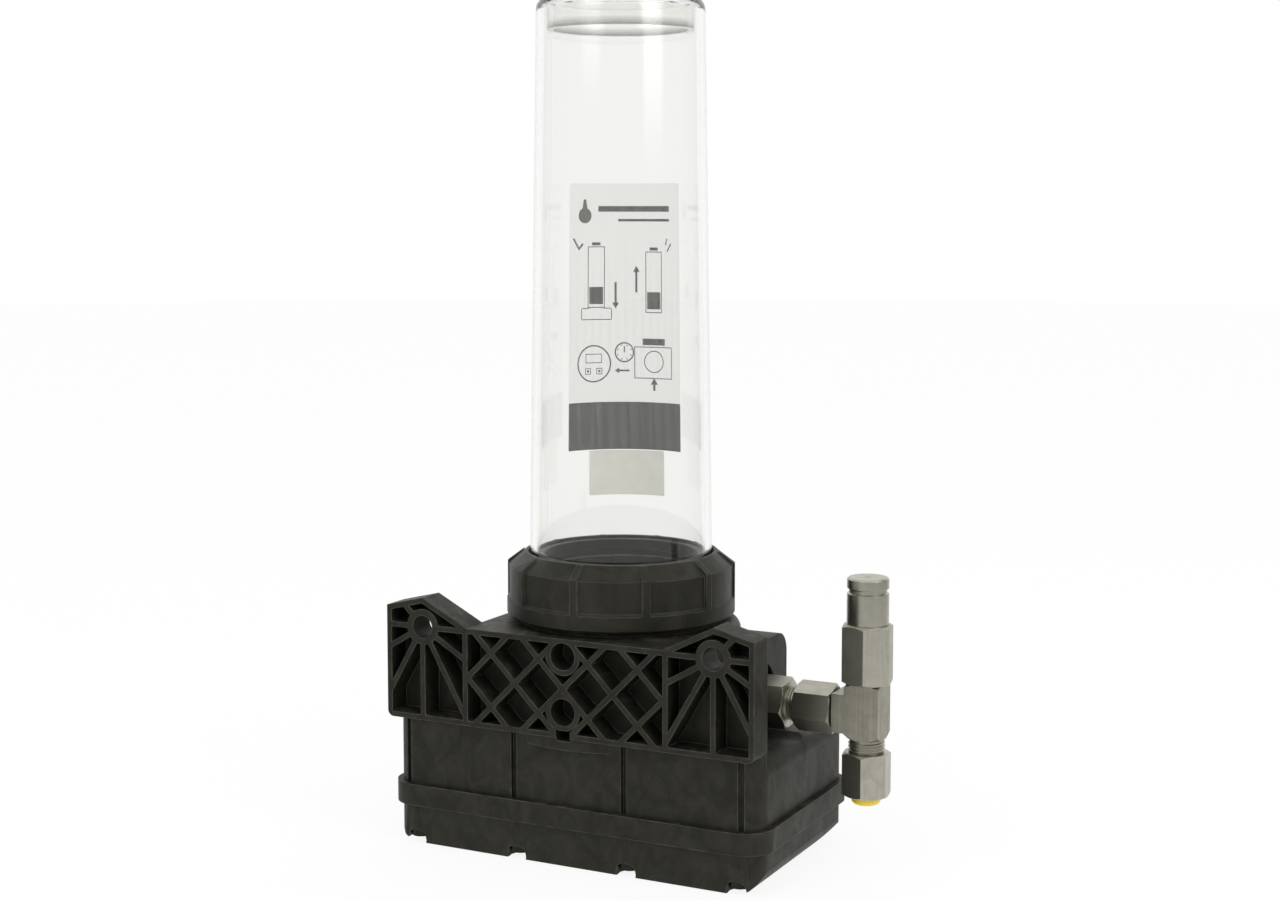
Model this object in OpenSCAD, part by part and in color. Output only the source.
// Electric grease pump for a screw-in cartridge, with a clear cover tube over the cartridge space.
// The origin is the centre of the base, on the reservoir axis. +Z is up, and +Y leaves the mounting face.

/* [Lower box] */
// Width of the box, side to side
box_w = 151.6; // [146:0.2:160]
// Depth of the box, front to back
box_d = 84.8; // [80:0.2:96]
// Height of the shoulder over the base
box_top = 48; // [46:0.5:50]
// Corner radius of the box in plan
box_corner_r = 9; // [8:0.5:14]
// Rounding of the shoulder edges
box_edge_r = 6; // [3:0.5:7]
// Wall of the moulded housing
wall = 3; // [2.4:0.1:3.4]
// Width of the vertical grooves in the box
groove_w = 2.3; // [1.5:0.1:3]
// Depth of the vertical grooves in the box
groove_depth = 1.8; // [1:0.1:2]

/* [Bottom cover] */
// Height of the bottom cover
tray_h = 23.5; // [22:0.5:25]
// Height of its proud lip
lip_h = 8.2; // [6:0.2:10]
// How far the lip stands proud of the box
lip_out = 2.2; // [1.5:0.1:3]
// Thickness of the floor
floor_t = 3; // [2.4:0.1:3.6]
// How far the back and front lean in towards the base
tray_draft = 1.8; // [0.5:0.1:2.5]
// Rounding of its two ends at the base
tray_end_r = 11; // [6:0.5:13]
// Rise of the sloping front of the floor
front_rise = 7.2; // [4:0.2:9]
// Length of the level part of the floor in front of the axis
level_front = 8; // [6:1:14]
// Distance of the inner cover screws from the middle
screw_x = 22.9; // [18:0.1:28]
// Diameter of the cover screws
cover_screw_d = 4; // [3:0.1:4.2]
// Height of the pockets for the screw heads
pocket_h = 5.3; // [4.5:0.1:6]
// Width of the cover gasket
gasket_w = 1.8; // [1.2:0.1:2]
// Thickness of the cover gasket
gasket_t = 1; // [0.8:0.1:1.5]

/* [Mounting plate] */
// Overall width over both ears
plate_w = 151.6; // [148:0.2:160]
// Thickness of the plate
plate_d = 11.6; // [10:0.2:14]
// How far the mounting face stands behind the box
plate_proud = 3.9; // [3:0.1:6]
// Height of the lower edge
plate_bottom = 49.5; // [49:0.5:52]
// Distance of the inner wall of each ear from the middle
ear_in_x = 40.4; // [38:0.2:43]
// Height of the outer corner of each ear
ear_corner_z = 92.3; // [90:0.1:95]
// Height of the peak of each ear
ear_peak_z = 96.2; // [95.5:0.1:100]
// Distance between the fixing holes
hole_spacing = 120; // [116:0.5:124]
// Height of the fixing holes
hole_z = 85.1; // [83:0.1:86]
// Diameter of the fixing holes, for M8 bolts
hole_d = 8.5; // [8:0.1:9.5]
// Diameter of the boss round each fixing hole
ear_boss_d = 13.5; // [12:0.5:15]
// Thickness of the ribs
rib_t = 2; // [1.5:0.1:2.4]
// Thickness of the wall behind the ribs
back_t = 2; // [1.5:0.1:3]
// Distance between parallel lattice ribs, along X
lattice_pitch = 20.2; // [16:0.2:24]
// Diameter of the two tube bosses in the lattice
tube_boss_d = 14; // [12:0.5:15]
// How far the tube bosses sit above the middle of the lattice
tube_boss_up = 1.6; // [0:0.1:2]
// Rounding of the plate's lower corners
plate_corner_r = 2.5; // [1:0.5:3]
// Width of the notch in the lower edge
notch_w = 6; // [4:0.5:9]

/* [Tower and hood] */
// Radius of the round front of the tower
tower_r = 45.7; // [45:0.1:48]
// Height of the tower
tower_top = 86.3; // [84:0.1:88]
// Rounding of its top edge
tower_edge_r = 4; // [2:0.5:5]
// Distance of the hood's face from the axis
hood_x = 58; // [56:0.5:60]
// Width of the hood
hood_w = 50; // [46:1:54]
// Height of the hood
hood_top = 82; // [80:0.5:84]
// Rounding of the hood's top corners
hood_r = 8; // [5:0.5:10]
// Radius of the arched recess round the pump element
recess_r = 14; // [12.5:0.5:15]
// Depth of that recess
recess_depth = 5; // [3:0.5:7]

/* [Neck and cover tube] */
// Height of the threaded neck over the tower
neck_h = 14.7; // [13:0.1:17]
// How far the threaded neck stands out past the tube's foot
neck_step = 4.7; // [4.2:0.1:5.4]
// Height of the spigot over the neck
spigot_h = 10.5; // [7:0.5:12]
// Wall of the spigot round the cartridge socket
socket_wall = 2.6; // [2.1:0.1:3.6]
// Depth of the rings in the cartridge socket
socket_ring = 1; // [0.5:0.1:1.3]
// Height of the cover tube over the neck
tube_h = 219; // [200:1:240]
// Outer radius of the tube at its foot
tube_r = 34.6; // [34.2:0.1:35]
// How much narrower the tube is at its top
tube_taper = 3; // [1.6:0.1:3.6]
// Wall of the tube
tube_wall = 2.4; // [1.8:0.1:2.6]
// Rounding of its top edge
tube_edge_r = 5; // [3:0.5:7]
// Gap between the tube's wall and the collar under its top
collar_gap = 1.7; // [1:0.1:5]
// Height of that collar
collar_h = 9.5; // [6:0.5:12]
// Thickness of the flange at its foot
flange_t = 2.7; // [2.2:0.1:3.2]

/* [Retaining ring] */
// Wall of the ring round the neck's thread
ring_wall = 4.1; // [3.3:0.1:5.1]
// Gap between the ring and the tower
ring_gap = 2.2; // [1:0.1:3]
// Height of the ring
ring_h = 23.7; // [23:0.1:27]
// Height of its plain lower band
ring_band_h = 6; // [4:0.5:8]
// Number of panels round the ring
ring_panels = 10; // [8:1:14]
// Angle of one rib between panels
ring_rib_deg = 4; // [3:0.5:6]
// Depth of the panels
ring_panel_depth = 0.9; // [0.5:0.1:1.2]

/* [Pump drive] */
// Throw of the eccentric
throw = 2.5; // [2:0.1:2.8]
// Diameter of the eccentric shaft
shaft_d = 8; // [7:0.5:9]
// Radius of the pump chamber
chamber_r = 16; // [15.5:0.1:18]
// Outer radius of the eccentric ring
cam_ring_r = 11; // [10:0.1:12]
// Width of the eccentric
cam_w = 9.6; // [8:0.2:11]
// Module of the gears
gear_module = 1; // [0.9:0.05:1.1]
// Teeth of the drive gear
gear_teeth = 34; // [30:1:38]
// Teeth of the motor pinion
pinion_teeth = 14; // [13:1:16]
// Face width of the gears
gear_w = 6; // [4:0.5:7]
// Radius of the motor can
motor_r = 14; // [12:0.5:15]
// Length of the motor can
motor_h = 21; // [18:0.5:22]
// Thickness of the motor plate
motor_plate_t = 2; // [1.5:0.1:2.5]

/* [Pump element and fittings] */
// Width across flats of the pump element and the relief valve
element_af = 17; // [16:0.5:18]
// Width across flats of the union nuts
nut_af = 16; // [15:0.5:17]
// Length of the pump element's hexagon
element_hex_l = 17; // [14:0.5:19]
// Diameter of the pump piston
piston_d = 6; // [5:0.5:7]
// Thread diameter at the fittings
fitting_d = 12.2; // [11.5:0.1:12.6]
// Visible thread between the pump element and the union nut
union_gap = 3.6; // [1.5:0.1:4.5]
// Length of the union nut
nut_l = 14.5; // [13:0.5:16]
// Distance of the tee's upright axis from the reservoir axis
tee_x = 99.9; // [98:0.1:104]
// Width of the square bar of the tee
tee_w = 13; // [12.6:0.1:14]
// Height of the tee's arm
tee_arm_h = 14.2; // [12.6:0.2:15]
// Height of the tee above the pump axis
tee_up = 11; // [9:0.2:12]
// Height of the tee below the pump axis
tee_down = 9.3; // [8:0.1:11]
// Length of the relief valve's hexagon
relief_hex_l = 21.5; // [18:0.5:23]
// Diameter of the relief valve's cap
cap_d = 15.2; // [14:0.2:16]
// Length of that cap
cap_l = 17; // [15:0.5:20]
// Visible thread between the tee and the outlet nut
outlet_gap = 5; // [3:0.5:7]
// Length of the outlet nut
outlet_nut_l = 16; // [14:0.5:18]
// Diameter of the transport plug's flange
plug_d = 10.4; // [9:0.2:12]

/* [Front panel and inlet] */
// Height of the middle of the round panel
panel_z = 54; // [53:0.5:57]
// Radius of the panel
panel_r = 20; // [18:0.5:21]
// How far the panel's boss stands in front of the tower
panel_proud = 4.3; // [3.5:0.1:6]
// Width of the display window
window_w = 22; // [18:0.5:24]
// Height of the display window
window_h = 10; // [8:0.5:12]
// Diameter of the keys
key_d = 7; // [6:0.2:8]
// Distance between the keys
key_spacing = 15; // [13:0.5:16]
// Travel of the keys
key_travel = 0.8; // [0.5:0.1:1]
// Distance of the power inlet from the end of the box
inlet_end = 25.8; // [23.8:0.1:30]
// Gap between the power inlet's flange and the bottom cover
inlet_clear = 0.6; // [0.4:0.1:1.5]
// Outer radius of the power inlet
inlet_r = 8; // [7:0.1:8.5]
// Length of the power inlet outside the box
inlet_l = 13; // [10:0.5:16]

/* [Hidden] */
$fn = 64;

// Clearances: a fixed fit, a running fit, a loose fit, and how far a cut runs past a face
fixed_gap = 0.03;
running_gap = 0.05;
loose_gap = 0.3;
over = 1;

// Colours
black_plastic = "#302f2c";
steel = "#a6a49b";
dark_steel = "#6f6e6a";
rubber = "#1f1f1f";
brass = "#b3954a";
white_plastic = "#dcdad2";

// Lower box and bottom cover
half_w = box_w / 2;
half_d = box_d / 2;
corner_x = half_w - box_corner_r;
corner_y = half_d - box_corner_r;
roof_z = box_top - wall;
column_r = cover_screw_d / 2 + 2.6;
screw_y = half_d - column_r - 0.4;
screw_head_r = cover_screw_d * 0.95;
screw_head_h = 3;
screw_top = roof_z - 7;
screw_places = [for (x = [-corner_x, -screw_x, screw_x, corner_x], sy = [-1, 1]) [x, sy * screw_y]];
floor_slope = front_rise / (half_d - tray_draft - level_front);
function floor_z(y) = max(0, (-level_front - y) * floor_slope);
corner_groove_deg = 15;
keel_spread = 0.5;
arch_step = 0.1;

// Mounting plate
face_y = half_d + plate_proud;
plate_y0 = face_y - plate_d;
plate_mid_z = (plate_bottom + tower_top) / 2;
plate_pocket = plate_d - back_t;
hole_x = hole_spacing / 2;
ear_rib_angles = [0, 45, 180, 210, 240, 270, 300, 330];
ear_outline = [
    [ear_in_x, plate_bottom],
    [plate_w / 2, plate_bottom],
    [plate_w / 2, ear_corner_z],
    [hole_x, ear_peak_z],
    [ear_in_x, tower_top]
];
lattice_lines = ceil((ear_in_x + tower_top - plate_mid_z) / lattice_pitch);
tube_boss_apart = 20.6;
tube_boss_zs = [for (s = [-1, 1]) plate_mid_z + tube_boss_up + s * tube_boss_apart / 2];

// Neck, cover tube and retaining ring
neck_top = tower_top + neck_h;
spigot_top = neck_top + spigot_h;
neck_r = tube_r + neck_step;
spigot_clear = 0.6;
spigot_r = tube_r - tube_wall - spigot_clear;
socket_r = spigot_r - socket_wall;
socket_floor_t = 3.7;
socket_floor = tower_top + socket_floor_t;
neck_foot_wall = 4;
neck_foot_r = chamber_r + neck_foot_wall;
neck_foot_l = 4;
neck_foot_z = tower_top - neck_foot_l;
seal_step = 3.4;
seal_in_r = spigot_r + seal_step;
seal_w = 2.2;
seal_t = 1.5;
tube_z0 = neck_top + loose_gap;
tube_top = neck_top + tube_h;
tube_top_r = tube_r - tube_taper;
collar_r = tube_top_r - tube_wall - collar_gap;
flange_inset = 0.8;
flange_r = neck_r - flange_inset;
ring_z0 = tower_top + ring_gap;
ring_z1 = ring_z0 + ring_h;
ring_lip_z = tube_z0 + flange_t + loose_gap;
ring_r = neck_r + ring_wall;
ring_mouth_gap = 0.7;
ring_mouth_r = tube_r + ring_mouth_gap;
ring_cone_h = 4.5;
ring_cone_z = ring_z1 - ring_cone_h;
ring_thread_r = neck_r + loose_gap;
ring_phase = 93.65;

// Pump drive, from the roof of the box upwards and downwards
bearing_r = 11;
bearing_w = 7;
bearing_top = roof_z + 2.5;
bearing_z0 = bearing_top - bearing_w;
bearing_boss_r = bearing_r + 4;
shaft_r = shaft_d / 2;
shaft_seal_r = shaft_r + 4;
shaft_seal_w = 5;
shaft_seal_top = bearing_top + shaft_seal_w;
chamber_floor = shaft_seal_top + 1.5;
cam_z0 = chamber_floor + 1.5;
cam_r = cam_ring_r - 4;
cam_ring_inset = 0.5;
shaft_stub = 5;
axis_z = cam_z0 + cam_w / 2;
gear_z1 = bearing_z0 - 2.5;
gear_z0 = gear_z1 - gear_w;
gear_hub_wall = 3;
gear_hub_r = shaft_r + gear_hub_wall;
gear_hub_rise = 1.5;
gear_clear = 3;
motor_plate_z1 = gear_z0 - gear_clear;
motor_plate_z0 = motor_plate_z1 - motor_plate_t;
motor_x = gear_module * (gear_teeth + pinion_teeth) / 2;
motor_shaft_r = 2;
motor_shaft_in = 5;
motor_shaft_out = 1;
motor_bore_l = 6;
motor_nose_r = 5;
motor_thread_l = 5;
motor_thread_spare = 1;
motor_z0 = motor_plate_z0 - motor_h;
motor_screw_y = 9.5;
motor_screw_r = 1.5;
post_r = 4;
post_back_x = -(gear_module * (gear_teeth / 2 + 1) + post_r) * 0.95;
post_front_gap = 3;
post_front_x = motor_x + motor_r + post_front_gap;
post_y = 17;
post_places = [for (x = [post_back_x, post_front_x], y = [-1, 1]) [x, y * post_y]];
post_screw_r = 2;
post_screw_end = 4;
post_margin = 1.5;
motor_plate_r = 5;
bush_wall = 2;
bush_r = shaft_r + bush_wall;
bush_flange_t = 1.2;
pressure_angle = 20;
backlash = 0.12;

// Pump element and fittings, along -X at the height of the eccentric
recess_x = -hood_x + recess_depth;
element_shank_r = 8;
element_x0 = -chamber_r - 8;
element_x1 = recess_x - element_hex_l;
washer_t = 1.2;
nose_r = fitting_d / 2 - 0.1;
bore_r = 2;
valve_r = 3;
seat_x = recess_x + 4;
check_ball_r = 2.5;
check_stop_x = element_x1 - 3;
piston_x0 = -(cam_ring_r + throw + loose_gap);
piston_head_r = piston_d / 2 + 2;
piston_head_t = 3;
piston_x1 = seat_x + 6;
nose_in_nut = 9.5;
nut_shoulder_t = 2.6;
nut_x0 = element_x1 - union_gap;
nut_x1 = nut_x0 - nut_l;
nut_shoulder_x = nut_x1 + nut_shoulder_t;
nose_x1 = nut_x0 - nose_in_nut;
stub_r = 4;
stub_collar_r = 5;
tee_arm_gap = 0.5;
tee_arm_x = nut_x1 - tee_arm_gap;
tee_chamfer = 1.4;
tee_z1 = axis_z + tee_up;
tee_z0 = axis_z - tee_down;
relief_spigot_r = 5;
relief_spigot_l = 7;
relief_z1 = tee_z1 + relief_hex_l;
relief_seat_z = tee_z1 + 4.5;
relief_inlet_r = 1.6;
relief_bore_r = 3.7;
cap_spigot_r = 6;
cap_spigot_l = 5;
cap_z1 = relief_z1 + cap_l;
cap_top_t = 9.8;
cap_bore_z = cap_z1 - cap_top_t;
cap_groove_drop = 4.8;
cap_groove_z = cap_z1 - cap_groove_drop;
cap_groove_t = 0.7;
cap_edge = 0.6;
cap_dimple_r = 1.6;
cap_dimple_t = 0.8;
relief_chamfer = 1.6;
outlet_chamfer = 1.4;
poppet_tip = 1.2;
poppet_disc_z = 1.6;
poppet_disc_t = 1.8;
poppet_stem_r = 1.8;
poppet_stem_l = 4.4;
relief_wire = 0.9;
relief_turns = 7;
outlet_nut_z1 = tee_z0 - outlet_gap;
outlet_nut_z0 = outlet_nut_z1 - outlet_nut_l;
outlet_shoulder_z = outlet_nut_z0 + 6;
outlet_stud_z = outlet_shoulder_z + 2;
outlet_hole_r = 4.3;
plug_flange_t = 3;
plug_wall = 1;
relief_hex_deg = 10.9;
outlet_hex_deg = 7.7;
element_hex_deg = 20;
union_hex_deg = 12;

// Front panel, stacked from its face to the board behind it
panel_y = -(tower_r + panel_proud);
panel_boss_r = panel_r + 4;
panel_seat_y = panel_y + 3;
bezel_y0 = panel_y + 0.4;
bezel_y1 = panel_seat_y;
pane_t = 1.5;
window_up = panel_r * 0.25;
key_down = panel_r * 0.45;
key_r = key_d / 2;
key_flange_r = key_r + 1.1;
key_flange_y = bezel_y1 + loose_gap;
key_flange_t = 1;
switch_y = key_flange_y + key_flange_t + key_travel + loose_gap;
board_t = 1.6;
board_y = switch_y + 1.1;
ledge_y = board_y + board_t;
board_r = panel_r - 2.8;
panel_cavity_y = -chamber_r - 12;

// Power inlet in the front wall
inlet_wall_y = -half_d;
inlet_x = half_w - inlet_end;
inlet_flange_r = inlet_r + 2.2;
inlet_z = tray_h + inlet_flange_r + inlet_clear;
inlet_flange_t = 3;
inlet_shank_r = inlet_r - 0.4;
inlet_cavity_r = inlet_r - 1.6;
inlet_cavity_l = 10;
inlet_nut_t = 3.4;
pin_r = 0.9;
pin_set_back = 5;
pin_circle_r = 3;

// Control board on posts in the bottom cover
control_w = 48;
control_d = 62;
control_end = 13.8;
control_x = -half_w + control_end + control_w / 2;
control_z = floor_t + 9;
control_post_r = 3;
control_inset = 4;
control_corner_r = 2;
relay_at = [-14, -22];
relay_size = [12, 16, 9];
terminal_at = [-16, 8];
terminal_size = [20, 8, 7];
chip_at = [2, -12];
chip_size = [9, 9, 1.4];
capacitor_x = 12;
capacitor_ys = [-20, 16];
capacitor_r = 4;
capacitor_h = 9;
board_screw_r = 1.2;
board_screw_head_r = 2.4;
board_screw_head_h = 1.6;
board_screw_l = 6;
board_screw_hole = 5;
control_places = [for (sx = [-1, 1], sy = [-1, 1])
    [control_x + sx * (control_w / 2 - control_inset), sy * (control_d / 2 - control_inset)]];

// Plane shapes

module rounded_rect(w, d, r) {
    square([w, d - 2 * r], center = true);
    square([w - 2 * r, d], center = true);
    for (sx = [-1, 1], sy = [-1, 1])
        translate([sx * (w / 2 - r), sy * (d / 2 - r)]) circle(r);
}

// A rectangle standing on the X axis, with its two top corners rounded
module round_top(w, h, r) {
    translate([-w / 2, 0]) square([w, h - r]);
    translate([r - w / 2, 0]) square([w - 2 * r, h]);
    for (s = [-1, 1])
        translate([s * (w / 2 - r), h - r]) circle(r);
}

// What a rounding of r takes off the lower right corner of a plane shape
module corner_cut(r) {
    difference() {
        translate([0, -over]) square(r + over);
        translate([0, r]) circle(r);
    }
}

function unit(v) = v / norm(v);
function inward(p, q) = let (u = unit(q - p)) [-u[1], u[0]];
function inset_corner(a, b, c, d) =
    let (m = inward(a, b), n = inward(b, c)) b + d * (m + n) / (1 + m * n);
// The same anticlockwise outline, moved in by d all round
function inset(pts, d) = let (n = len(pts))
    [for (i = [0:n - 1]) inset_corner(pts[(i + n - 1) % n], pts[i], pts[(i + 1) % n], d)];

function arc(centre, r, from, to, steps = 8) =
    [for (i = [0:steps]) let (a = from + (to - from) * i / steps) centre + r * [cos(a), sin(a)]];

// Involute gear outline with one tooth on the X axis
function involute(a) = tan(a) * 180 / PI - a;
function pitch_r(teeth) = gear_module * teeth / 2;
function tooth_half_deg(teeth, r) =
    let (base_r = pitch_r(teeth) * cos(pressure_angle), a = r > base_r ? acos(base_r / r) : 0)
    90 / teeth - backlash / 2 / pitch_r(teeth) * 180 / PI + involute(pressure_angle) - involute(a);
function flank(teeth) =
    let (root = pitch_r(teeth) - 1.25 * gear_module, tip = pitch_r(teeth) + gear_module)
    [for (i = [0:5]) root + (tip - root) * i / 5];
function polar(r, a) = r * [cos(a), sin(a)];
function gear_outline(teeth) = [for (i = [0:teeth - 1])
    let (mid = i * 360 / teeth, radii = flank(teeth), n = len(radii))
    each concat(
        [for (r = radii) polar(r, mid - tooth_half_deg(teeth, r))],
        [for (k = [n - 1:-1:0]) polar(radii[k], mid + tooth_half_deg(teeth, radii[k]))])];

// Solid helpers

module slab(w, d, r, z0, z1) {
    translate([0, 0, z0]) linear_extrude(z1 - z0) rounded_rect(w, d, r);
}

module upright(r, z0, z1, at = [0, 0]) {
    translate([at[0], at[1], z0]) cylinder(h = z1 - z0, r = r);
}

// A round bar on the pump axis, between two places along X
module along_x(r, x0, x1) {
    translate([min(x0, x1), 0, axis_z]) rotate([0, 90, 0]) cylinder(h = abs(x1 - x0), r = r);
}

// A round bar towards the back, between two places along Y
module along_y(r, y0, y1, at) {
    translate([at[0], y1, at[1]]) rotate([90, 0, 0]) cylinder(h = y1 - y0, r = r);
}

// An upright hexagon bar with chamfered ends
module hexagon(af, h, chamfer = 1.2) {
    corner = af / 2 / cos(30);
    intersection() {
        cylinder(h = h, r = corner, $fn = 6);
        rotate_extrude() polygon([[0, 0], [corner - chamfer, 0], [corner, chamfer * tan(30)],
            [corner, h - chamfer * tan(30)], [corner - chamfer, h], [0, h]]);
    }
}

// A hexagon bar on the pump axis, towards -X
module hexagon_along_x(af, x0, x1, turn) {
    translate([x1, 0, axis_z]) rotate([0, 90, 0]) rotate([0, 0, turn]) hexagon(af, x0 - x1);
}

// A profile in Y and Z, drawn out along X
module across(w) {
    translate([-w / 2, 0, 0]) rotate([90, 0, 90]) linear_extrude(w) children();
}

// A profile in X and Z, drawn from the mounting face into the plate
module in_plate(depth) {
    translate([0, face_y, 0]) rotate([90, 0, 0]) linear_extrude(depth) children();
}

module both_sides() {
    children();
    mirror([1, 0, 0]) children();
}

// A round wire wound from z = 0 to z = h, with its ends half a wire inside those
module coil(r, wire, h, turns) {
    sides = 6;
    steps = 14;
    rings = turns * steps;
    rise = h - wire;
    points = [for (i = [0:rings], k = [0:sides - 1])
        let (a = 360 * i / steps, b = 360 * k / sides, q = r + wire / 2 * cos(b))
        [q * cos(a), q * sin(a), wire / 2 + rise * i / rings + wire / 2 * sin(b)]];
    walls = [for (i = [0:rings - 1], k = [0:sides - 1])
        [i * sides + k, (i + 1) * sides + k, (i + 1) * sides + (k + 1) % sides, i * sides + (k + 1) % sides]];
    ends = [[for (k = [0:sides - 1]) k], [for (k = [sides - 1:-1:0]) rings * sides + k]];
    polyhedron(points, concat(walls, ends));
}

// Upper housing: box, tower, hood, neck, front boss and ribbed mounting plate in one moulding

module box_outside() {
    intersection() {
        slab(box_w, box_d, box_corner_r, tray_h, box_top);
        translate([0, box_d, 0]) rotate([90, 0, 0])
            linear_extrude(2 * box_d) round_top(box_w, box_top, box_edge_r);
        across(2 * box_w) translate([box_edge_r, 0]) round_top(box_d + 2 * box_edge_r, box_top, box_edge_r);
    }
}

module tower_outside() {
    rise = tower_top - roof_z;
    translate([0, 0, roof_z]) {
        rotate_extrude() {
            square([tower_r, rise - tower_edge_r]);
            square([tower_r - tower_edge_r, rise]);
            translate([tower_r - tower_edge_r, rise - tower_edge_r]) circle(tower_edge_r);
        }
        translate([0, plate_y0 + over, 0]) rotate([90, 0, 0])
            linear_extrude(plate_y0 + over) round_top(2 * tower_r - 1.4, rise, tower_edge_r);
    }
}

module hood_outside() {
    translate([-hood_x, 0, roof_z]) rotate([90, 0, 90])
        linear_extrude(hood_x - tower_r + 12) round_top(hood_w, hood_top - roof_z, hood_r);
}

module plate_outside() {
    in_plate(plate_d) {
        translate([-ear_in_x, plate_bottom]) square([2 * ear_in_x, tower_top - plate_bottom]);
        both_sides() difference() {
            polygon(ear_outline);
            translate([plate_w / 2 - plate_corner_r, plate_bottom]) corner_cut(plate_corner_r);
        }
    }
    intersection() {
        slab(box_w, box_d, box_corner_r, roof_z - box_edge_r, plate_bottom + rib_t);
        translate([-half_w, plate_y0, 0]) cube([box_w, plate_d, plate_bottom + plate_d]);
    }
}

module ear_pockets() {
    both_sides() in_plate(plate_pocket) difference() {
        polygon(inset(ear_outline, rib_t));
        translate([hole_x, hole_z]) {
            circle(d = ear_boss_d);
            for (a = ear_rib_angles)
                rotate(a) translate([0, -rib_t / 2]) square([plate_w, rib_t]);
        }
    }
}

module lattice_pockets() {
    in_plate(plate_pocket) difference() {
        translate([-ear_in_x, plate_bottom + rib_t])
            square([2 * ear_in_x, tower_top - plate_bottom - 2 * rib_t]);
        for (i = [-lattice_lines:lattice_lines], turn = [-45, 45])
            translate([i * lattice_pitch, plate_mid_z])
                rotate(turn) square([plate_w, rib_t], center = true);
        for (z = tube_boss_zs)
            translate([0, z]) circle(d = tube_boss_d);
    }
    for (z = tube_boss_zs)
        along_y(tube_boss_d / 2 - rib_t, face_y - plate_pocket, face_y + over, [0, z]);
    translate([-notch_w / 2, face_y - plate_pocket, plate_bottom - over])
        cube([notch_w, plate_pocket + over, rib_t + 2 * over]);
}

module box_grooves() {
    for (s = [-1, 1]) {
        translate([s * screw_x - groove_w / 2, half_d - groove_depth, tray_h - over])
            cube([groove_w, groove_depth + over, plate_bottom - tray_h + over]);
        translate([s * corner_x, corner_y, tray_h - over]) rotate([0, 0, -s * corner_groove_deg])
            translate([-groove_w / 2, box_corner_r - groove_depth, 0])
                cube([groove_w, groove_depth + over, plate_bottom - tray_h + over]);
    }
}

module element_recess() {
    along_x(recess_r, -half_w - over, recess_x);
    translate([-hood_x - over, -recess_r, box_top])
        cube([recess_depth + over, 2 * recess_r, axis_z - box_top]);
}

module socket_bore() {
    upright(socket_r, socket_floor, spigot_top + over);
    pitch = (spigot_top - socket_floor) / 4;
    for (i = [1:3])
        upright(socket_r + socket_ring, socket_floor + i * pitch - 1.2, socket_floor + i * pitch + 1.2);
}

module drive_bores() {
    upright(bearing_r + fixed_gap, bearing_z0 - over, bearing_top);
    upright(shaft_seal_r + fixed_gap, bearing_top - over, shaft_seal_top);
    upright(shaft_r + 0.6, shaft_seal_top - over, chamber_floor + over);
    upright(chamber_r, chamber_floor, tower_top);
    along_x(element_shank_r + fixed_gap, recess_x - over, 0);
}

module panel_bores() {
    at = [0, panel_z];
    along_y(panel_r + loose_gap / 2, panel_y - over, panel_seat_y, at);
    along_y(board_r + fixed_gap, panel_seat_y - over, ledge_y, at);
    along_y(board_r - 2.2, ledge_y - over, panel_cavity_y, at);
}

module upper_housing() {
    color(black_plastic) difference() {
        union() {
            difference() {
                union() {
                    box_outside();
                    tower_outside();
                    hood_outside();
                    plate_outside();
                    along_y(panel_boss_r, panel_y, panel_cavity_y, [0, panel_z]);
                }
                slab(box_w - 2 * wall, box_d - 2 * wall, box_corner_r - wall, tray_h - over, roof_z);
            }
            upright(bearing_boss_r, bearing_z0, roof_z + over);
            for (p = post_places)
                upright(post_r, motor_plate_z1, roof_z + over, p);
            intersection() {
                box_outside();
                for (p = screw_places)
                    upright(column_r, tray_h, roof_z + over, p);
            }
        }
        box_grooves();
        ear_pockets();
        lattice_pockets();
        for (s = [-1, 1])
            along_y(hole_d / 2, plate_y0 - over, face_y + over, [s * hole_x, hole_z]);
        element_recess();
        upright(neck_foot_r + fixed_gap, neck_foot_z, tower_top + over);
        drive_bores();
        panel_bores();
        for (p = post_places)
            upright(post_screw_r + fixed_gap, motor_plate_z1 - over, roof_z - 3, p);
        for (p = screw_places)
            upright(cover_screw_d / 2 + fixed_gap, tray_h - over, screw_top + over, p);
        along_y(inlet_shank_r + fixed_gap, inlet_wall_y - over, inlet_wall_y + wall + over,
            [inlet_x, inlet_z]);
    }
}

// Threaded neck with the cartridge socket, welded on the tower
module cartridge_neck() {
    color(black_plastic) difference() {
        union() {
            upright(neck_foot_r, neck_foot_z, tower_top + over);
            upright(neck_r, tower_top, neck_top);
            upright(spigot_r, neck_top - over, spigot_top);
        }
        socket_bore();
        upright(chamber_r, neck_foot_z - over, socket_floor + over);
        upright_ring(seal_in_r, seal_in_r + seal_w, neck_top - seal_t, neck_top + over);
    }
}

// A ring of rectangular section
module upright_ring(r0, r1, z0, z1) {
    translate([0, 0, z0]) rotate_extrude() translate([r0, 0]) square([r1 - r0, z1 - z0]);
}

// Bottom cover with its gasket and screws

module rim_ring(w, z0, z1) {
    grow = wall - w;
    difference() {
        slab(box_w - grow, box_d - grow, box_corner_r - grow / 2, z0, z1);
        slab(box_w - grow - 2 * w, box_d - grow - 2 * w, box_corner_r - grow / 2 - w, z0 - over, z1 + over);
    }
}

// A block along Y, with the lower edges of its two long sides rounded
module round_keel(w, z0, z1, r) {
    translate([0, -box_d, z1]) rotate([-90, 0, 0])
        linear_extrude(2 * box_d) round_top(w + 2 * keel_spread, z1 - z0, r);
}

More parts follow.
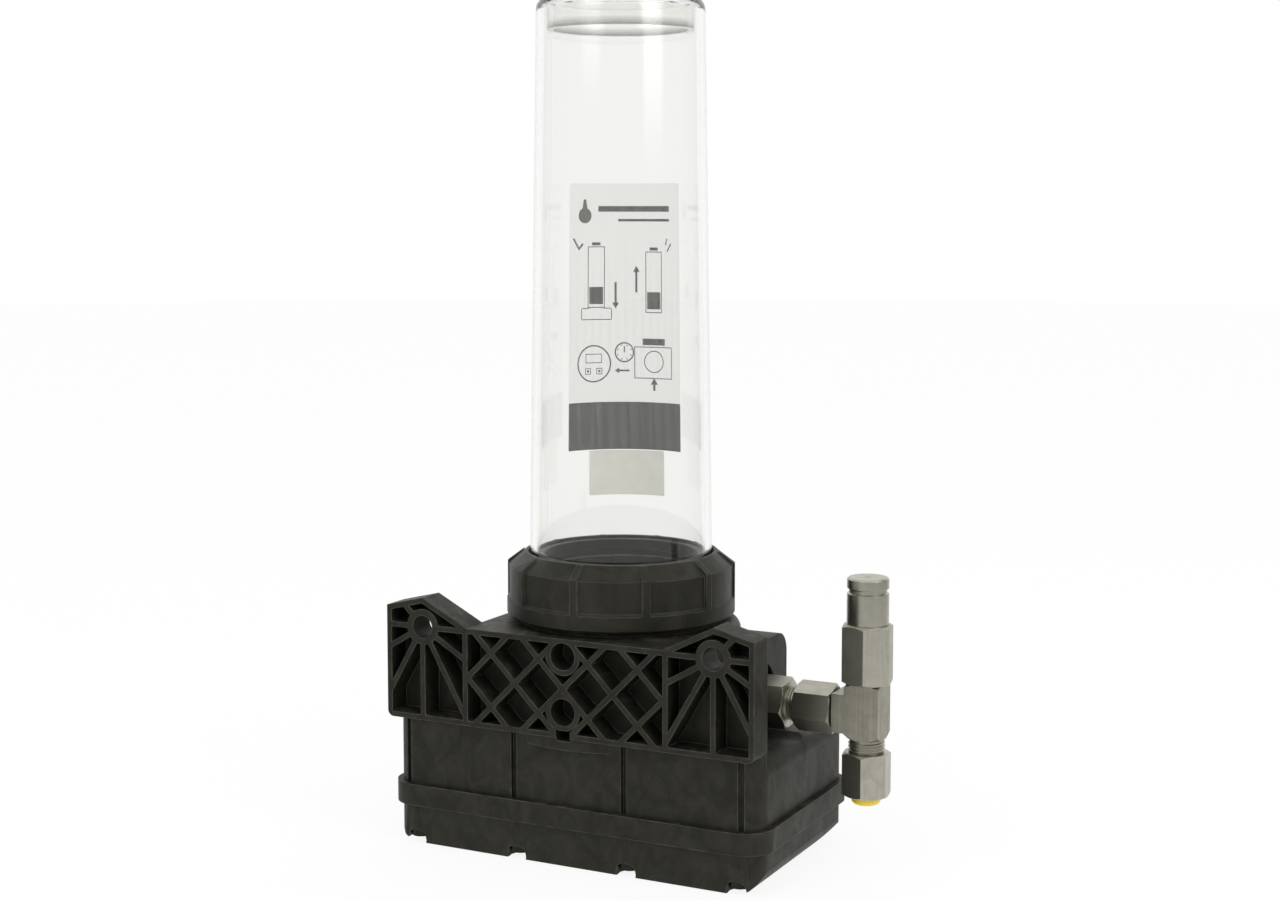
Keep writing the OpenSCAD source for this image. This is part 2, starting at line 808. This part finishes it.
module tray_outside() {
    base_back = half_d - tray_draft;
    slab(box_w + 2 * lip_out, box_d + 2 * lip_out, box_corner_r + lip_out, tray_h - lip_h, tray_h);
    intersection() {
        slab(box_w, box_d, box_corner_r, 0, tray_h);
        round_keel(box_w, 0, tray_h, tray_end_r);
        across(2 * box_w) polygon([[-level_front, 0], [base_back, 0], [half_d, tray_h], [-half_d, tray_h],
            [-base_back, front_rise]]);
    }
}

module tray_inside() {
    inner_back = half_d - wall;
    intersection() {
        slab(box_w - 2 * wall, box_d - 2 * wall, box_corner_r - wall, 0, tray_h + over);
        round_keel(box_w - 2 * wall, floor_t, tray_h + over, tray_end_r - wall);
        across(2 * box_w) polygon([[-level_front, floor_t], [inner_back, floor_t],
            [inner_back, tray_h + over], [-inner_back, tray_h + over],
            [-inner_back, floor_t + floor_z(-inner_back)]]);
    }
}

// An arched pocket in the lower edge, with a round seat for the screw head above it
module screw_pocket(p) {
    r = screw_head_r + loose_gap;
    top = floor_z(p[1]) + pocket_h;
    upright(r, -over, top, p);
    along_y(r - arch_step, p[1] > 0 ? p[1] : p[1] - half_d, p[1] > 0 ? p[1] + half_d : p[1],
        [p[0], top - r]);
    upright(cover_screw_d / 2 + loose_gap / 2, top - over, tray_h + over, p);
}

module bottom_cover() {
    color(black_plastic) difference() {
        union() {
            difference() {
                tray_outside();
                tray_inside();
            }
            for (p = screw_places)
                upright(column_r, floor_z(p[1]) + floor_t - over, tray_h, p);
            for (p = control_places)
                upright(control_post_r, floor_z(p[1]) + floor_t - over, control_z, p);
        }
        for (p = screw_places) screw_pocket(p);
        for (p = control_places)
            upright(board_screw_r + fixed_gap, control_z - board_screw_hole, control_z + over, p);
        rim_ring(gasket_w + 2 * running_gap, tray_h - gasket_t, tray_h + over);
    }
}

module cover_gasket() {
    color(rubber) rim_ring(gasket_w, tray_h - gasket_t, tray_h);
}

// A screw standing head down, with a socket in its head
module screw_up(r, head_r, head_h, z0, z1) {
    difference() {
        union() {
            upright(head_r, z0, z0 + head_h);
            upright(r, z0 + head_h - over, z1);
        }
        translate([0, 0, z0 - over]) cylinder(h = head_h / 2 + over, r = head_r * 0.5, $fn = 6);
    }
}

module cover_screws() {
    color(dark_steel) for (p = screw_places) translate([p[0], p[1], 0])
        screw_up(cover_screw_d / 2, screw_head_r, screw_head_h,
            floor_z(p[1]) + pocket_h - screw_head_h, screw_top);
}

// Cover tube, retaining ring and the seal under the tube

function tube_radius(z) = tube_r + (tube_top_r - tube_r) * (z - spigot_top) / (tube_top - spigot_top);

module cover_tube() {
    inner_top = tube_top - tube_wall - 0.6;
    inner_r = tube_radius(inner_top) - tube_wall;
    inner_edge = tube_edge_r - tube_wall;
    color([0.9, 0.92, 0.92, 0.3]) rotate_extrude() {
        polygon(concat(
            [[tube_r - tube_wall, tube_z0], [flange_r, tube_z0], [flange_r, tube_z0 + flange_t],
             [tube_r, tube_z0 + flange_t], [tube_r, spigot_top]],
            arc([tube_top_r - tube_edge_r, tube_top - tube_edge_r], tube_edge_r, 0, 90),
            [[0, tube_top], [0, inner_top]],
            arc([inner_r - inner_edge, inner_top - inner_edge], inner_edge, 90, 0),
            [[tube_r - tube_wall, spigot_top]]));
        translate([collar_r - tube_wall, inner_top - collar_h])
            square([tube_wall, collar_h + tube_wall / 2]);
    }
}

module retaining_ring() {
    body_r = ring_r - ring_panel_depth;
    mouth_wall = 1.2;
    rib_top_r = ring_mouth_r + mouth_wall + 0.9;
    rib_foot_z = ring_z0 + ring_band_h - over;
    color(black_plastic) difference() {
        union() {
            rotate_extrude() polygon([[0, ring_z0], [ring_r - 0.8, ring_z0], [ring_r, ring_z0 + 0.8],
                [ring_r, ring_z0 + ring_band_h], [body_r, ring_z0 + ring_band_h + ring_panel_depth],
                [body_r, ring_cone_z - 0.6], [ring_mouth_r + mouth_wall, ring_z1], [0, ring_z1]]);
            for (i = [0:ring_panels - 1])
                rotate([0, 0, ring_phase + i * 360 / ring_panels - ring_rib_deg / 2])
                    rotate_extrude(angle = ring_rib_deg)
                        polygon([[neck_r, rib_foot_z], [ring_r, rib_foot_z], [ring_r, ring_cone_z],
                            [rib_top_r, ring_z1], [neck_r - 2, ring_z1]]);
        }
        upright(ring_thread_r, ring_z0 - over, ring_lip_z);
        upright(ring_mouth_r, ring_lip_z - over, ring_z1 + over);
    }
}

module tube_seal() {
    color(rubber) upright_ring(seal_in_r + running_gap, seal_in_r + seal_w - running_gap,
        neck_top - seal_t, neck_top);
}

// Pump element: hexagon body with the pumping bore and the check valve

module pump_element() {
    color(steel) difference() {
        union() {
            along_x(element_shank_r, element_x0, recess_x);
            hexagon_along_x(element_af, recess_x - washer_t, element_x1, element_hex_deg);
            along_x(element_shank_r, recess_x - washer_t - over, recess_x + over);
            along_x(nose_r, element_x1 + over, nose_x1);
        }
        along_x(piston_d / 2 + running_gap, element_x0 + over, seat_x + over);
        along_x(bore_r, seat_x + 2, seat_x - over);
        along_x(valve_r, seat_x, check_stop_x);
        along_x(bore_r, check_stop_x + over, nose_x1 - over);
    }
}

module element_washer() {
    color("#b87a4a") difference() {
        along_x(element_af / 2 + 0.4, recess_x, recess_x - washer_t);
        along_x(element_shank_r + fixed_gap, recess_x + over, recess_x - washer_t - over);
    }
}

module pump_piston() {
    color(steel) {
        along_x(piston_head_r, piston_x0, piston_x0 - piston_head_t);
        along_x(piston_d / 2, piston_x0 - over, piston_x1);
    }
}

// The coil lies on the pump axis between two places, x0 nearer the axis of the reservoir
module coil_along_x(r, wire, x0, x1, turns) {
    translate([x1, 0, axis_z]) rotate([0, 90, 0]) coil(r, wire, x0 - x1, turns);
}

module piston_spring() {
    color(dark_steel) coil_along_x(piston_d / 2 + 1, 1, piston_x0 - piston_head_t, element_x0, 4);
}

module check_ball() {
    rest = sqrt(check_ball_r * check_ball_r - bore_r * bore_r) + running_gap;
    color(steel) translate([seat_x - rest, 0, axis_z]) sphere(check_ball_r);
}

module check_spring() {
    color(dark_steel) coil_along_x(valve_r - 0.7, 0.6, seat_x - 2 * check_ball_r + 0.6, check_stop_x, 6);
}

// Fittings: union nut, tee, relief valve, outlet nut and transport plug

module union_nut() {
    color(steel) difference() {
        hexagon_along_x(nut_af, nut_x0, nut_x1, union_hex_deg);
        along_x(fitting_d / 2, nut_x0 + over, nut_shoulder_x);
        along_x(stub_r + loose_gap, nut_shoulder_x + over, nut_x1 - over);
    }
}

module at_tee() {
    translate([-tee_x, 0, 0]) children();
}

module tee_body() {
    half = tee_w / 2;
    tall = tee_z1 - tee_z0;
    far_r = half * 1.45;
    color(steel) difference() {
        union() {
            at_tee() intersection() {
                translate([-half, -half, tee_z0]) cube([tee_w, tee_w, tall]);
                translate([0, 0, tee_z0]) rotate_extrude()
                    polygon([[0, 0], [half + 0.4, 0], [far_r, tee_chamfer * 1.6],
                        [far_r, tall - tee_chamfer], [half + 0.8, tall], [0, tall]]);
            }
            translate([-tee_x, -half, axis_z - tee_arm_h / 2]) cube([tee_x + tee_arm_x, tee_w, tee_arm_h]);
            along_x(stub_r, nose_x1 - running_gap, tee_arm_x - over);
            along_x(stub_collar_r, nose_x1 - running_gap, nut_shoulder_x + running_gap);
            at_tee() upright(fitting_d / 2, outlet_stud_z, tee_z0 + over);
        }
        along_x(bore_r, nose_x1 + over, -tee_x);
        at_tee() upright(bore_r, outlet_stud_z - over, tee_z1);
        at_tee() upright(relief_spigot_r + fixed_gap, tee_z1 - relief_spigot_l - loose_gap, tee_z1 + over);
    }
}

module relief_body() {
    color(steel) at_tee() difference() {
        union() {
            translate([0, 0, tee_z1]) rotate([0, 0, 90 + relief_hex_deg])
                hexagon(element_af, relief_hex_l, relief_chamfer);
            upright(relief_spigot_r, tee_z1 - relief_spigot_l, tee_z1 + over);
        }
        upright(relief_inlet_r, tee_z1 - relief_spigot_l - over, relief_seat_z + over);
        upright(relief_bore_r, relief_seat_z, relief_z1 + over);
        upright(cap_spigot_r + fixed_gap, relief_z1 - cap_spigot_l - loose_gap, relief_z1 + over);
    }
}

module relief_cap() {
    r = cap_d / 2;
    groove_r = r - cap_groove_t;
    spigot_z = relief_z1 - cap_spigot_l;
    color(steel) at_tee() difference() {
        rotate_extrude() polygon([[0, spigot_z], [cap_spigot_r, spigot_z], [cap_spigot_r, relief_z1],
            [r, relief_z1], [r, cap_groove_z - 1], [groove_r, cap_groove_z - 0.6],
            [groove_r, cap_groove_z + 0.6], [r, cap_groove_z + 1], [r, cap_z1 - cap_edge],
            [r - cap_edge, cap_z1], [cap_dimple_r, cap_z1], [0, cap_z1 - cap_dimple_t]]);
        upright(relief_bore_r, spigot_z - over, cap_bore_z);
    }
}

module relief_poppet() {
    disc_r = relief_bore_r - loose_gap;
    z = relief_seat_z + running_gap;
    disc_top = poppet_disc_z + poppet_disc_t;
    stem_top = disc_top + poppet_stem_l;
    color(steel) at_tee() translate([0, 0, z]) rotate_extrude()
        polygon([[0, -poppet_tip], [relief_inlet_r - poppet_tip / 2, -poppet_tip], [relief_inlet_r, 0],
            [relief_inlet_r + poppet_tip / 2, poppet_tip], [disc_r, poppet_disc_z], [disc_r, disc_top],
            [poppet_stem_r, disc_top], [poppet_stem_r, stem_top - 0.8], [0, stem_top]]);
}

module relief_spring() {
    base = relief_seat_z + running_gap + poppet_disc_z + poppet_disc_t;
    coil_r = relief_bore_r - 1.1;
    color(dark_steel) at_tee() translate([0, 0, base])
        coil(coil_r, relief_wire, cap_bore_z - base, relief_turns);
}

module outlet_nut() {
    color(steel) at_tee() difference() {
        translate([0, 0, outlet_nut_z0]) rotate([0, 0, 90 + outlet_hex_deg])
            hexagon(nut_af, outlet_nut_l, outlet_chamfer);
        upright(fitting_d / 2 + running_gap, outlet_shoulder_z, outlet_nut_z1 + over);
        upright(outlet_hole_r, outlet_nut_z0 - over, outlet_shoulder_z + over);
    }
}

module cutting_ring() {
    color(dark_steel) at_tee() rotate_extrude() polygon([[outlet_hole_r, outlet_shoulder_z],
        [fitting_d / 2 - 0.4, outlet_shoulder_z], [fitting_d / 2 - 0.4, outlet_shoulder_z + 1],
        [outlet_hole_r + 0.6, outlet_stud_z - running_gap], [outlet_hole_r, outlet_stud_z - running_gap]]);
}

module transport_plug() {
    r = outlet_hole_r - running_gap;
    flange_z = outlet_nut_z0 - plug_flange_t;
    color("#c9a526") at_tee() difference() {
        rotate_extrude() polygon([[0, flange_z], [plug_d / 2 - 0.8, flange_z], [plug_d / 2, flange_z + 0.8],
            [plug_d / 2, outlet_nut_z0], [r, outlet_nut_z0], [r, outlet_shoulder_z - 1.5],
            [r - 0.7, outlet_shoulder_z], [0, outlet_shoulder_z]]);
        upright(r - plug_wall, flange_z + 1.2, outlet_shoulder_z + over);
    }
}

// Pump drive: eccentric shaft on its bearings, gears and motor

module eccentric_shaft() {
    color(steel) {
        upright(shaft_r, motor_plate_z0, cam_z0 + over);
        upright(cam_r, cam_z0, cam_z0 + cam_w, [-throw, 0]);
        upright(shaft_r, cam_z0 + cam_w - over, cam_z0 + cam_w + shaft_stub);
    }
}

module eccentric_ring() {
    color(dark_steel) translate([-throw, 0, 0])
        upright_ring(cam_r + fixed_gap, cam_ring_r, cam_z0 + cam_ring_inset, cam_z0 + cam_w - cam_ring_inset);
}

module drive_gear() {
    color(white_plastic) difference() {
        union() {
            translate([0, 0, gear_z0]) linear_extrude(gear_w) polygon(gear_outline(gear_teeth));
            upright(gear_hub_r, gear_z0, gear_z1 + gear_hub_rise);
        }
        upright(shaft_r + fixed_gap, gear_z0 - over, gear_z1 + 2 * over);
        for (a = [0:60:300])
            rotate([0, 0, a + 30]) upright(gear_module * 2.6, gear_z0 - over, gear_z1 + over,
                [(gear_hub_r + pitch_r(gear_teeth)) / 2, 0]);
    }
}

module shaft_bearing() {
    mid = (shaft_r + bearing_r) / 2;
    depth = 0.8;
    color(steel) difference() {
        upright_ring(shaft_r + running_gap, bearing_r, bearing_z0, bearing_top);
        upright_ring(mid - 1.4, mid + 1.4, bearing_z0 - over, bearing_z0 + depth);
        upright_ring(mid - 1.4, mid + 1.4, bearing_top - depth, bearing_top + over);
    }
}

module shaft_seal() {
    color(rubber) difference() {
        upright_ring(shaft_r + running_gap, shaft_seal_r, bearing_top, shaft_seal_top);
        upright_ring(shaft_r + 1.2, shaft_seal_r - 1.4, bearing_top - over, bearing_top + shaft_seal_w / 2);
    }
}

module lower_bush() {
    color(brass) {
        upright_ring(shaft_r + running_gap, bush_r, motor_plate_z0, motor_plate_z1 + bush_flange_t);
        upright_ring(shaft_r + running_gap, bush_r + bush_wall, motor_plate_z1, motor_plate_z1 + bush_flange_t);
    }
}

module motor_plate() {
    x0 = post_back_x - post_r - post_margin;
    x1 = post_front_x + post_r + post_margin;
    color(steel) difference() {
        translate([(x0 + x1) / 2, 0, 0])
            slab(x1 - x0, 2 * (post_y + post_r + post_margin), motor_plate_r, motor_plate_z0, motor_plate_z1);
        upright(bush_r + fixed_gap, motor_plate_z0 - over, motor_plate_z1 + over);
        upright(motor_nose_r + fixed_gap, motor_plate_z0 - over, motor_plate_z1 + over, [motor_x, 0]);
        for (s = [-1, 1])
            upright(motor_screw_r + fixed_gap, motor_plate_z0 - over, motor_plate_z1 + over,
                [motor_x, s * motor_screw_y]);
        for (p = post_places)
            upright(post_screw_r + fixed_gap, motor_plate_z0 - over, motor_plate_z1 + over, p);
    }
}

module plate_screws() {
    head_h = 2.6;
    color(dark_steel) for (p = post_places) translate([p[0], p[1], 0])
        screw_up(post_screw_r, post_screw_r * 1.75, head_h, motor_plate_z0 - head_h, roof_z - post_screw_end);
}

module motor_can() {
    foot = 1.5;
    color(dark_steel) translate([motor_x, 0, 0]) difference() {
        rotate_extrude() polygon([[0, motor_z0], [motor_r - foot, motor_z0], [motor_r, motor_z0 + foot],
            [motor_r, motor_plate_z0], [motor_nose_r, motor_plate_z0], [motor_nose_r, motor_plate_z1],
            [0, motor_plate_z1]]);
        upright(motor_shaft_r + running_gap, motor_plate_z0 - motor_bore_l, motor_plate_z1 + over);
        for (s = [-1, 1])
            upright(motor_screw_r + fixed_gap, motor_plate_z0 - motor_thread_l, motor_plate_z0 + over,
                [0, s * motor_screw_y]);
    }
}

module motor_screws() {
    head_h = 1.8;
    color(dark_steel) for (s = [-1, 1])
        translate([motor_x, s * motor_screw_y, motor_plate_z1 + head_h]) mirror([0, 0, 1])
            screw_up(motor_screw_r, motor_screw_r * 1.8, head_h, 0,
                head_h + motor_plate_t + motor_thread_l - motor_thread_spare);
}

module motor_shaft() {
    color(steel)
        upright(motor_shaft_r, motor_plate_z0 - motor_shaft_in, gear_z1 + motor_shaft_out, [motor_x, 0]);
}

module motor_pinion() {
    color(brass) translate([motor_x, 0, gear_z0]) difference() {
        rotate([0, 0, 180 + 180 / pinion_teeth]) linear_extrude(gear_w) polygon(gear_outline(pinion_teeth));
        upright(motor_shaft_r + fixed_gap, -over, gear_w + over);
    }
}

// Control board on the posts of the bottom cover

// A block on the board, from its corner nearest to -X and -Y
module on_board(at, size) {
    translate([control_x + at[0], at[1], control_z + board_t / 2])
        cube([size[0], size[1], size[2] + board_t / 2]);
}

module control_board() {
    top = control_z + board_t;
    color("#2f5d3a") difference() {
        union() {
            translate([control_x, 0, 0]) slab(control_w, control_d, control_corner_r, control_z, top);
            on_board(relay_at, relay_size);
            on_board(terminal_at, terminal_size);
            on_board(chip_at, chip_size);
            for (y = capacitor_ys)
                upright(capacitor_r, top - over, top + capacitor_h, [control_x + capacitor_x, y]);
        }
        for (p = control_places)
            upright(board_screw_r + fixed_gap, control_z - over, top + over, p);
    }
}

module board_screws() {
    top = control_z + board_t;
    color(dark_steel) for (p = control_places)
        translate([p[0], p[1], top + board_screw_head_h]) mirror([0, 0, 1])
            screw_up(board_screw_r, board_screw_head_r, board_screw_head_h, 0, board_t + board_screw_l);
}

// Round front panel with its window, display and keys

module panel_bezel() {
    color("#3a3a38") translate([0, 0, panel_z]) difference() {
        along_y(panel_r, bezel_y0, bezel_y1, [0, 0]);
        translate([-window_w / 2 + 1, bezel_y0 - over, window_up - window_h / 2 + 1])
            cube([window_w - 2, bezel_y1 - bezel_y0 + 2 * over, window_h - 2]);
        translate([-window_w / 2, bezel_y1 - pane_t, window_up - window_h / 2])
            cube([window_w, pane_t + over, window_h]);
        for (s = [-1, 1])
            along_y(key_r + loose_gap, bezel_y0 - over, bezel_y1 + over, [s * key_spacing / 2, -key_down]);
    }
}

module display_window() {
    gap = running_gap;
    color([0.55, 0.62, 0.6, 0.5])
        translate([gap - window_w / 2, bezel_y1 - pane_t, panel_z + window_up - window_h / 2 + gap])
            cube([window_w - 2 * gap, pane_t, window_h - 2 * gap]);
}

module display_module() {
    color("#8b9a86")
        translate([-window_w / 2 - 1, bezel_y1 + loose_gap, panel_z + window_up - window_h / 2 - 1])
            cube([window_w + 2, board_y - bezel_y1 - loose_gap, window_h + 2]);
}

module display_board() {
    color("#2f5d3a") {
        along_y(board_r, board_y, ledge_y, [0, panel_z]);
        for (s = [-1, 1])
            translate([s * key_spacing / 2 - 3, switch_y, panel_z - key_down - 3])
                cube([6, board_y - switch_y + board_t / 2, 6]);
    }
}

module key(side) {
    at = [side * key_spacing / 2, panel_z - key_down];
    crown = 0.5;
    color("#8f8e88") {
        translate([at[0], 0, at[1]]) rotate([90, 0, 0]) rotate_extrude()
            polygon([[0, -key_flange_y - over], [key_r, -key_flange_y - over], [key_r, -bezel_y0 + 0.4],
                [key_r - crown, -bezel_y0 + 0.4 + crown], [0, -bezel_y0 + 0.4 + crown]]);
        along_y(key_flange_r, key_flange_y, key_flange_y + key_flange_t, at);
    }
}

module left_key() {
    key(-1);
}

module right_key() {
    key(1);
}

// Power inlet through the front wall, with its nut inside

module power_inlet() {
    at = [inlet_x, inlet_z];
    mouth_y = inlet_wall_y - inlet_l;
    color("#262625") difference() {
        union() {
            along_y(inlet_flange_r, inlet_wall_y - inlet_flange_t, inlet_wall_y, at);
            along_y(inlet_r, mouth_y, inlet_wall_y - inlet_flange_t + over, at);
            along_y(inlet_shank_r, inlet_wall_y - over, inlet_wall_y + wall + inlet_nut_t + 1, at);
        }
        along_y(inlet_cavity_r, mouth_y - over, mouth_y + inlet_cavity_l, at);
        for (a = [45:90:315])
            along_y(pin_r + fixed_gap, mouth_y, inlet_wall_y + wall + inlet_nut_t + 1 + over,
                at + polar(pin_circle_r, a));
    }
}

module inlet_nut() {
    nut_y = inlet_wall_y + wall + inlet_nut_t;
    color(dark_steel) translate([inlet_x, nut_y, inlet_z]) rotate([90, 0, 0]) difference() {
        cylinder(h = inlet_nut_t, r = inlet_flange_r, $fn = 6);
        translate([0, 0, -over]) cylinder(h = inlet_nut_t + 2 * over, r = inlet_shank_r + fixed_gap);
    }
}

module inlet_pins() {
    color(brass) for (a = [45:90:315])
        along_y(pin_r, inlet_wall_y - inlet_l + pin_set_back, inlet_wall_y + wall + inlet_nut_t + 4,
            [inlet_x, inlet_z] + polar(pin_circle_r, a));
}

upper_housing();
cartridge_neck();
bottom_cover();
cover_gasket();
cover_screws();
cover_tube();
retaining_ring();
tube_seal();
pump_element();
element_washer();
pump_piston();
piston_spring();
check_ball();
check_spring();
union_nut();
tee_body();
relief_body();
relief_cap();
relief_poppet();
relief_spring();
outlet_nut();
cutting_ring();
transport_plug();
eccentric_shaft();
eccentric_ring();
drive_gear();
shaft_bearing();
shaft_seal();
lower_bush();
motor_plate();
plate_screws();
motor_can();
motor_screws();
motor_shaft();
motor_pinion();
control_board();
board_screws();
panel_bezel();
display_window();
display_module();
display_board();
left_key();
right_key();
power_inlet();
inlet_nut();
inlet_pins();
